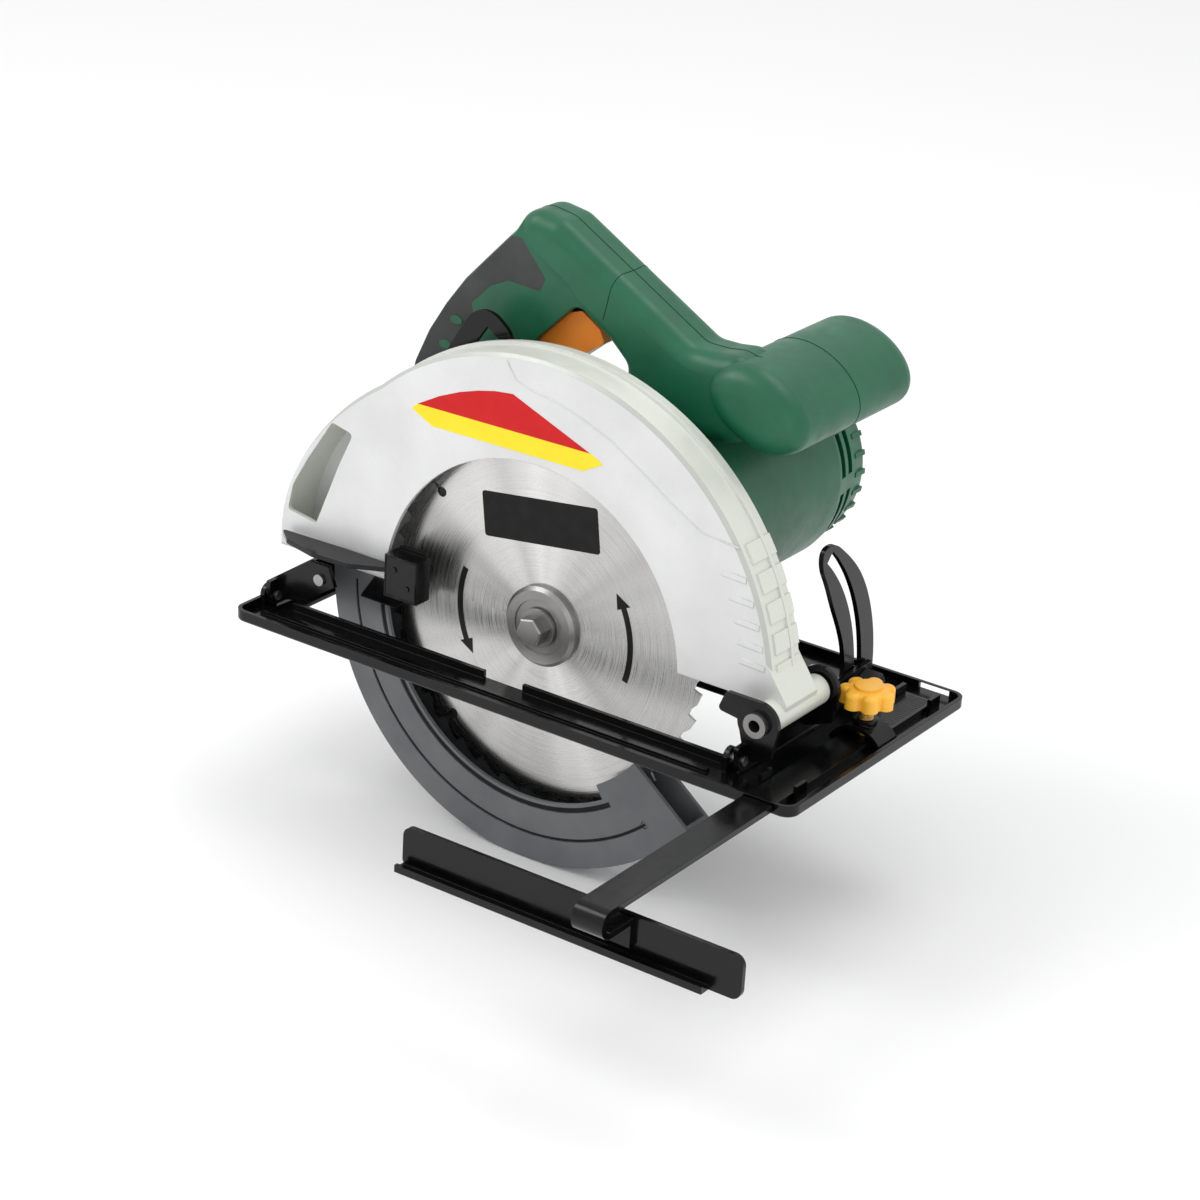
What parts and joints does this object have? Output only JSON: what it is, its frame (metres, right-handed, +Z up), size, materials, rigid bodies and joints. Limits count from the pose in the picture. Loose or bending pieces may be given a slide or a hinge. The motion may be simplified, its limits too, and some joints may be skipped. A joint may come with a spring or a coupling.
{
  "type": "circular saw",
  "caption": "Corded hand-held circular saw with swinging lower guard, bevel and depth adjustment, closed handle and side rip fence.",
  "frame": {"origin": "on the underside of the sole's wide foot, straight below the spindle line", "axes": "+X towards the cut (front of the saw), +Y to the motor side, +Z up"},
  "size_m": [0.3755, 0.3356, 0.3134],
  "materials": {
    "black_steel": "gloss",
    "bare_steel": "satin",
    "dark_steel": "satin",
    "black_plastic": "satin",
    "amber_plastic": "gloss",
    "brass_plate": "satin",
    "guard_paint": "satin",
    "guard_steel": "satin",
    "blade_steel": "brushed",
    "cast_alloy": "cast",
    "lamination": "matte",
    "copper": "satin",
    "carbon": "matte",
    "green_plastic": "satin",
    "orange_plastic": "satin",
    "black_rubber": "matte",
    "grey_rubber": "matte"
  },
  "bodies": {
    "base": {"base_plate": "black_steel", "guide_tabs": "black_steel", "bevel_quadrant": "black_steel", "fence_bridge": "black_steel", "base_rivets": "bare_steel", "tilt_pins": "bare_steel"},
    "tilt_frame": {"front_tilt_bracket": "black_steel", "rear_tilt_bracket": "black_steel", "depth_pivot_pin": "dark_steel", "depth_arc": "black_steel", "bracket_rivets": "bare_steel", "bevel_lock_bolt": "bare_steel"},
    "bevel_knob": {"bevel_lock_knob": "black_plastic"},
    "fence": {"fence_arm": "black_steel", "fence_plate": "black_steel"},
    "fence_clamp": {"fence_knob": "amber_plastic", "fence_stud": "brass_plate"},
    "motor_unit": {"upper_guard": "guard_paint", "guard_spring": "bare_steel", "gear_case": "cast_alloy", "gear_plate": "cast_alloy", "bearings": "bare_steel", "stator": "lamination", "carbon_brushes": "carbon", "brush_holders": "brass_plate", "motor_housing": "green_plastic", "motor_end_cap": "green_plastic", "front_handle_cap": "green_plastic", "switch_body": "black_plastic", "cord_inlet": "black_rubber", "handle_screws": "bare_steel", "cap_screws": "bare_steel", "depth_stud": "bare_steel", "handle_left": "green_plastic", "handle_right": "green_plastic", "grip_cover": "grey_rubber"},
    "swing_guard": {"lower_guard": "guard_steel", "guard_lever": "black_steel"},
    "blade_set": {"blade": "blade_steel", "inner_flange": "dark_steel", "outer_flange": "dark_steel", "washer": "dark_steel", "arbor_bolt": "dark_steel", "spindle_shaft": "bare_steel", "drive_gear": "bare_steel"},
    "countershaft": {"idle_shaft": "bare_steel", "idle_pinion": "bare_steel", "idle_gear": "bare_steel"},
    "armature": {"motor_shaft": "bare_steel", "motor_pinion": "bare_steel", "motor_fan": "black_plastic", "armature_core": "lamination", "commutator": "copper"},
    "trigger": {"trigger": "orange_plastic"},
    "lock_off": {"lock_off_button": "black_plastic"},
    "spindle_lock": {"spindle_lock": "black_plastic"},
    "depth_lever": {"depth_lock_lever": "black_plastic"}
  },
  "joints": [
    {"name": "bevel_tilt", "type": "hinge", "parent": "base", "child": "tilt_frame", "pos_m": [0, -0.098, 0.008], "axis": [1, 0, 0], "range_deg": [0, 45]},
    {"name": "depth_swing", "type": "hinge", "parent": "tilt_frame", "child": "motor_unit", "pos_m": [0.14, -0.07, 0.028], "axis": [0, 1, 0], "range_deg": [0, 26]},
    {"name": "guard_swing", "type": "hinge", "parent": "motor_unit", "child": "swing_guard", "pos_m": [0, -0.07, 0.026], "axis": [0, 1, 0], "range_deg": [0, 115], "stiffness_Nm_per_rad": 0.25, "springref_deg": -80.21},
    {"name": "blade_spin", "type": "hinge", "parent": "motor_unit", "child": "blade_set", "pos_m": [0, -0.07, 0.026], "axis": [0, -1, 0], "continuous": true},
    {"name": "countershaft_spin", "type": "hinge", "parent": "motor_unit", "child": "countershaft", "pos_m": [0.01733, -0.07, 0.0529], "axis": [0, -1, 0], "continuous": true},
    {"name": "armature_spin", "type": "hinge", "parent": "motor_unit", "child": "armature", "pos_m": [0.039, -0.07, 0.08652], "axis": [0, -1, 0], "continuous": true},
    {"name": "trigger_pull", "type": "slide", "parent": "motor_unit", "child": "trigger", "axis": [-0.9023, 0, -0.4311], "range_m": [0, 0.005], "stiffness_N_per_m": 600, "springref_m": -0.004},
    {"name": "lock_off_press", "type": "slide", "parent": "motor_unit", "child": "lock_off", "axis": [0, -1, 0], "range_m": [0, 0.003], "stiffness_N_per_m": 500, "springref_m": -0.003},
    {"name": "spindle_lock_press", "type": "slide", "parent": "motor_unit", "child": "spindle_lock", "axis": [1, 0, 0], "range_m": [0, 0.003], "stiffness_N_per_m": 500, "springref_m": -0.003},
    {"name": "depth_lever_turn", "type": "hinge", "parent": "motor_unit", "child": "depth_lever", "pos_m": [-0.08729, -0.07, 0.05591], "axis": [0, 1, 0], "range_deg": [0, 35]},
    {"name": "bevel_knob_turn", "type": "hinge", "parent": "tilt_frame", "child": "bevel_knob", "pos_m": [0, 0.00592, 0.01199], "axis": [1, 0, 0], "range_deg": [0, 360]},
    {"name": "fence_slide", "type": "slide", "parent": "base", "child": "fence", "axis": [0, 1, 0], "range_m": [-0.03, 0.09]},
    {"name": "fence_clamp_turn", "type": "hinge", "parent": "base", "child": "fence_clamp", "pos_m": [0.158, -0.03, 0.026], "axis": [0, 0, 1], "range_deg": [0, 360]}
  ],
  "couplings": [
    {"joint": "countershaft_spin", "follows": "blade_spin", "ratio": -1.6667},
    {"joint": "armature_spin", "follows": "blade_spin", "ratio": 5}
  ]
}
